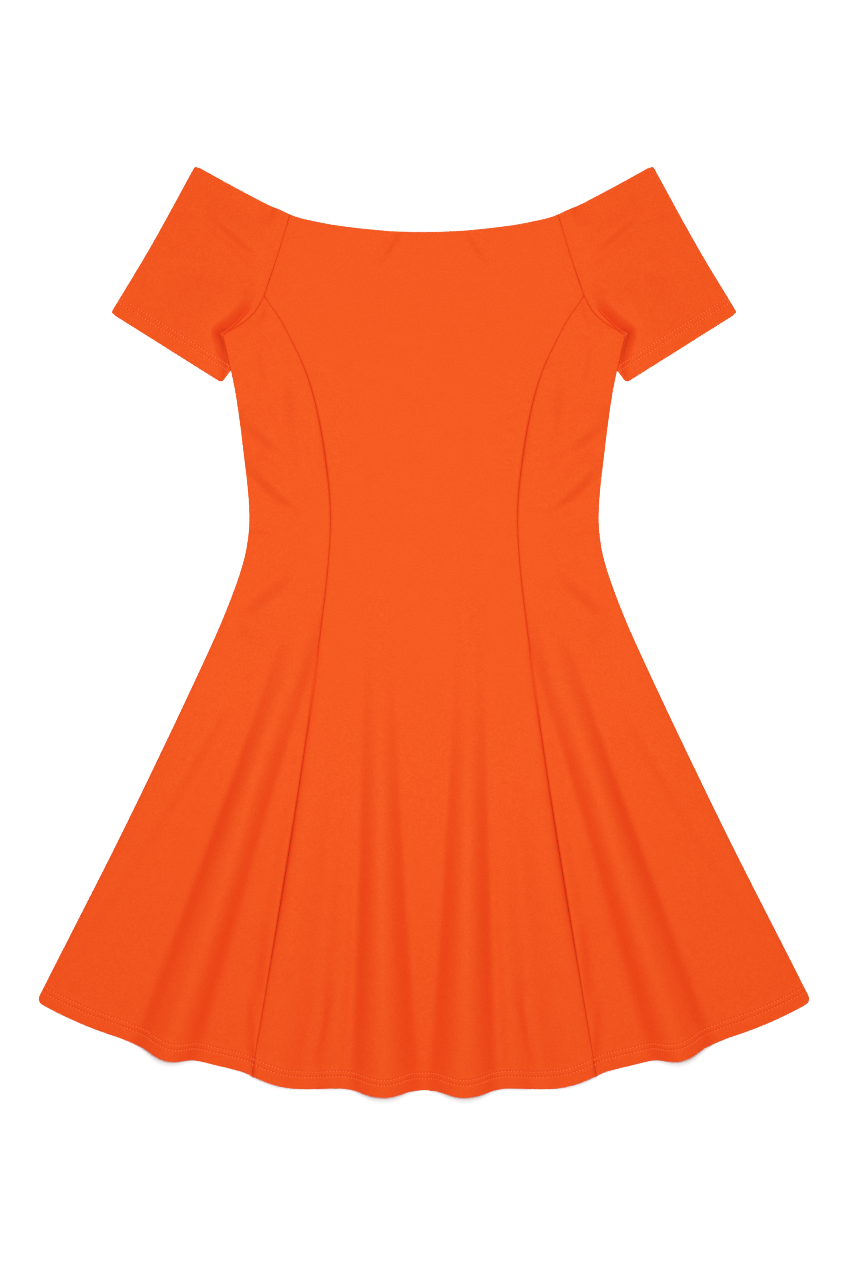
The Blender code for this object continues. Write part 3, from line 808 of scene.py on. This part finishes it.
def side_plan():
    """The plan of the side panel at +X."""
    hem, side = round_corner(hem_line(PRINCESS[0, 0], SIDE_CORNER[0]), SIDE, HEM_CORNER_RADIUS)
    side, armhole_back = round_corner(side, LOWER[::-1], UNDERARM_RADIUS)
    inner = sideways(PRINCESS, SHELL_GAP / 2)
    top = sideways(armhole_back[::-1], SHELL_GAP / 2)
    top[0], side[-1], hem[0] = inner[-1], top[-1], inner[0]
    return panel_grid((hem, top, inner, side), HEM_STOPS, EDGE_STOPS, EDGE_STOPS, EDGE_STOPS)


def make_front_side(name, mirrored):
    seams = {"left": 1, "right": SIDE_EDGE_SHARE, "top": ARMHOLE_SHARE}
    return front_shell(name, side_plan(), seams, mirrored=mirrored)


def sleeve_edges():
    """The sleeve's cuff, neckline, inner edge and outer fold, with their corners rounded."""
    fold = sideways(smooth(SLEEVE_OUTSIDE), -SLEEVE_FOLD)
    neck = smooth(NECK_ON_SLEEVE)
    neck = np.vstack([neck[neck[:, 0] < fold[-1, 0]], fold[-1:]])
    inner = np.vstack([smooth(SLEEVE_UNDERARM), LOWER[-2::-1], UPPER[1:]])
    cuff = np.array((CUFF_UNDERARM, fold[0]))
    inner_back, cuff = round_corner(inner[::-1], cuff, SLEEVE_CORNER_RADIUS)
    cuff, fold = round_corner(cuff, fold, SLEEVE_CORNER_RADIUS)
    fold, neck_back = round_corner(fold, neck[::-1], SLEEVE_CORNER_RADIUS)
    edge = sideways(inner_back[::-1], SHELL_GAP / 2)
    neck = neck_back[::-1]
    cuff[0], neck[0] = edge[0], edge[-1]
    return cuff, neck, edge, fold


def fold_over(front, back, outward, radius):
    """Grids of the front layer, the arc round the sleeve's outer fold, and the back layer."""
    edge = front[:, -1]
    turns = math.pi * (0.5 - np.arange(1, FOLD_STEPS) / FOLD_STEPS)
    arc = np.empty((len(edge), FOLD_STEPS - 1, 3))
    middle = (front[:, -1, 2] + back[:, 0, 2]) / 2
    reach = (front[:, -1, 2] - back[:, 0, 2]) / 2
    for k, turn in enumerate(turns):
        arc[:, k, :2] = edge[:, :2] + outward * radius * math.cos(turn)
        arc[:, k, 2] = middle + reach * math.sin(turn)
    return np.concatenate([front, arc, back], axis=1)


def beside_armhole(plan):
    """Each point's distance from the hollow's course, and how far past the notch it lies."""
    down_side = SIDE[::-1][travelled(SIDE[::-1]) < HOLLOW_END]
    course = evenly(np.vstack([LOWER, down_side[1:]]), HOLLOW_STEPS)
    away = np.linalg.norm(plan[:, :, None] - course, axis=3).min(axis=2)
    x, y = plan[..., 0], plan[..., 1]
    tucked_under = (y < UNDERARM[1]) & (x < np.interp(y, SIDE[:, 1], SIDE[:, 0]))
    onward = unit(np.subtract(UNDERARM, ARMHOLE_NOTCH))
    return np.where(tucked_under, 0.0, away), (plan - ARMHOLE_NOTCH) @ onward


def make_sleeve(name, mirrored):
    """One piece of cloth: the front layer, the outer fold and the back layer."""
    cuff, neck, edge, fold = sleeve_edges()
    edges = (cuff, neck, edge, fold)
    plan = panel_grid(edges, CUFF_STOPS, EDGE_STOPS, ARMHOLE_STOPS, COARSE_STOPS, SLEEVE_CELL)
    below, above, before, beyond = edge_distances(plan)
    x, y = plan[..., 0], plan[..., 1]
    v = below / below[-1:]
    u = before / before[:, -1:]
    whole = travelled(edge)[-1]
    notch = 1 - travelled(UPPER)[-1] / whole
    underarm = notch - travelled(LOWER)[-1] / whole

    # the plain form: level with the front at the armhole, and puffed in the middle
    edge_rise = rise(plan[:, :1, 0], plan[:, :1, 1])
    past_underarm = eased((v - underarm) / (notch - underarm))
    at_seam = edge_rise * past_underarm * (1 - u) ** SEAM_RISE_FADE
    puff_edge = np.where(u < 0.5, SLEEVE_PUFF_EDGE, OUTER_PUFF_EDGE)
    middle = SLEEVE_PUFF * (1 - np.abs(2 * u - 1) ** puff_edge) * (1 + np.sin(math.pi * v)) / 2
    flat = np.minimum(beyond / FOLD_FLAT, 1)
    near_cuff = HEM_LIFT * (1 - eased((below - HEM_DEPTH) / STEP_WIDTH)) * flat
    plain = FRONT_TOP + at_seam + middle + near_cuff

    # the swell, the hollow that it falls into, and the rim between the hollow and the seam
    away, from_notch = beside_armhole(plan)
    place, rim_widths, slope_starts = np.array(HOLLOW_COURSE).T
    rim_width = np.interp(from_notch, place, rim_widths)
    share = eased(from_notch / HOLLOW_GROWS)
    up_slope = (away - np.interp(from_notch, place, slope_starts)) / HOLLOW_SLOPE
    climb = 1 - (1 - np.clip(up_slope, 0, 1)) ** SLOPE_POWER
    swell = SWELL_HEIGHT * bell(np.hypot(x - SWELL_CENTRE[0], y - SWELL_CENTRE[1]) / SWELL_REACH)
    swollen = plain + swell * (climb + (1 - climb) * share)
    height = swollen - share * (1 - climb) * (swollen - HOLLOW_FLOOR)
    rim_level = plain + edge_rise * (1 - past_underarm)
    sewn_edge = eased((v - underarm) / RIM_START)
    on_rim = sewn_edge * (1 - eased((away - rim_width) / RIM_FALL))
    height = height + on_rim * (rim_level - height)

    height = height + creases_at(-x if mirrored else x, y, SLEEVE_CREASES)
    height = height - CORNER_ROLL * (1 - sewn_edge) * np.exp(-before / CORNER_REACH)

    # the four faces: both sides of the front layer, and both sides of the back layer
    stitches = stitched(below, before, CUFF_ROWS) * flat
    thickness = np.maximum(turned(below, HEM_DEPTH), turned(above, FACING_DEPTH))
    height = np.maximum(height, 2 * thickness + LAYER_GAP)
    turned_round = edge_round(np.minimum(below, above), thickness)
    any_round = edge_round(np.minimum(np.minimum(below, above), before), thickness)
    groove = seam_dip(before, y) * sewn_edge
    front_face = height + stitches - groove - any_round
    inside_face = np.minimum(height - thickness + turned_round, front_face - 2 * RIM)
    front_outer, front_inner = raised(plan, front_face), raised(plan, inside_face)
    under = BACK_CLEAR + turned_round + np.maximum(-stitches, 0)
    back_outer = raised(plan, under)[:, ::-1]
    back_inner = raised(plan, BACK_CLEAR + thickness - turned_round)[:, ::-1]
    outward = sideways(plan[:, -1], 1.0) - plan[:, -1]
    outer = fold_over(front_outer, back_outer, outward, SLEEVE_FOLD)
    inner = fold_over(front_inner, back_inner, outward, SLEEVE_FOLD - JERSEY)
    at_fold = np.repeat(below[:, -1:], FOLD_STEPS - 1, axis=1)
    from_cuff = np.concatenate([below, at_fold, below[:, ::-1]], axis=1)
    return shell(name, outer, inner, mirrored), outer, from_cuff


def make_back():
    """One plain panel under the front, flat on the surface but for a few shallow creases."""
    hem, side = round_corner(
        hem_line(0.0, SIDE_CORNER[0], dips=(), inset=BACK_INSET), SIDE, HEM_CORNER_RADIUS
    )
    edge = sleeve_edges()[2]
    under_sleeve = SLEEVE_UNDERARM[1][1]
    side = side[side[:, 1] < under_sleeve - 2 * SEAM_GAP]
    armhole = edge[edge[:, 1] > under_sleeve] - (SHELL_GAP, 0)
    right = np.vstack([side, armhole])
    neck = NECK[NECK[:, 0] < right[-1, 0] - BACK_INSET] - (0, BACK_INSET)
    neck = np.vstack([neck, right[-1:]])
    edges = (both_halves(hem), both_halves(neck), right * (-1, 1), right)
    plan = panel_grid(edges, HEM_STOPS, COARSE_STOPS, COARSE_STOPS, COARSE_STOPS, BACK_CELL)
    below, above, before, beyond = edge_distances(plan)
    sides = np.minimum(before, beyond)
    doubled = np.maximum(turned(below, HEM_DEPTH), turned(above, FACING_DEPTH))
    thickness = doubled - TURNED + BACK_TURNED
    draw_back = edge_round(np.minimum(np.minimum(below, above), sides), thickness)
    x, y = plan[..., 0], plan[..., 1]
    lift = np.maximum(creases_at(x, y, BACK_CREASES), 0) + BACK_CLEAR
    grooves = np.maximum(-stitched(below, before, STITCH_ROWS), 0)
    top = raised(plan, thickness + lift - draw_back)
    bottom = raised(plan, lift + grooves + draw_back)
    return shell("back", top, bottom), bottom


centre, centre_top = make_front_centre()
side_left, side_left_top = make_front_side("front_side_left", False)
side_right, side_right_top = make_front_side("front_side_right", True)
sleeve_left, sleeve_left_top, sleeve_left_below = make_sleeve("sleeve_left", False)
sleeve_right, sleeve_right_top, sleeve_right_below = make_sleeve("sleeve_right", True)
back, back_under = make_back()


# ---- stitching -----------------------------------------------------------------------------------
def rows_on(outer, from_bottom, rows, mirrored=False, under=False):
    """The lines of the stitch rows on a grid of outer points, with their normals."""
    lines = []
    for row in rows:
        line, normals = row_at(outer, from_bottom, row)
        if under:
            normals = -normals
        lines.append(mirror_line(line, normals) if mirrored else (line, normals))
    return lines


def hem_rows(outer, mirrored=False, under=False):
    from_hem = edge_distances(outer[..., :2])[0]
    return rows_on(outer, from_hem, STITCH_ROWS, mirrored, under)


front_rows = hem_rows(centre_top) + hem_rows(side_left_top) + hem_rows(side_right_top, mirrored=True)
left_cuff_rows = rows_on(sleeve_left_top, sleeve_left_below, CUFF_ROWS)
right_cuff_rows = rows_on(sleeve_right_top, sleeve_right_below, CUFF_ROWS, mirrored=True)
stitch_piece("stitches_front_hem", front_rows)
stitch_piece("stitches_back_hem", hem_rows(back_under, under=True))
stitch_piece("stitches_cuff_left", left_cuff_rows)
stitch_piece("stitches_cuff_right", right_cuff_rows)


# ---- floor, light and camera ---------------------------------------------------------------------
def make_floor():
    """A plain pale floor."""
    bpy.ops.mesh.primitive_plane_add(size=FLOOR_SIZE, location=(0, 0, 0))
    floor = bpy.context.object
    floor.name = "floor"
    material, paper = new_material("floor")
    set_inputs(paper, PAPER)
    floor.data.materials.append(material)


def make_light():
    """One soft square lamp, and an even fill from all round."""
    light = bpy.data.lights.new("softbox", "AREA")
    light.shape = "SQUARE"
    light.size = LIGHT_SIZE
    light.energy = LIGHT_WATTS
    lamp = bpy.data.objects.new("softbox", light)
    lamp.location = LIGHT_PLACE
    lamp.visible_camera = False
    bpy.context.scene.collection.objects.link(lamp)
    world = bpy.data.worlds.new("studio")
    world.use_nodes = True
    sky = world.node_tree.nodes["Background"]
    sky.inputs["Color"].default_value = (1, 1, 1, 1)
    sky.inputs["Strength"].default_value = FILL
    bpy.context.scene.world = world


def make_camera():
    """Straight above the dress, with the photo's frame."""
    lens = bpy.data.cameras.new("camera")
    lens.sensor_fit = "VERTICAL"
    lens.sensor_height = SENSOR
    lens.lens = SENSOR * CAMERA_HEIGHT / VIEW_LENGTH
    lens.clip_end = CAMERA_REACH
    camera = bpy.data.objects.new("camera", lens)
    camera.location = (0, 0, CAMERA_HEIGHT)
    bpy.context.scene.collection.objects.link(camera)
    bpy.context.scene.camera = camera


def set_response():
    """The camera's tone curve: rich dark tones, and highlights that roll off."""
    settings = bpy.context.scene.view_settings
    settings.view_transform = "Standard"
    settings.use_curve_mapping = True
    tone = settings.curve_mapping.curves[COMBINED]
    for seen, shown in RESPONSE:
        tone.points.new(seen, shown)
    settings.curve_mapping.update()


make_floor()
make_light()
make_camera()
set_response()
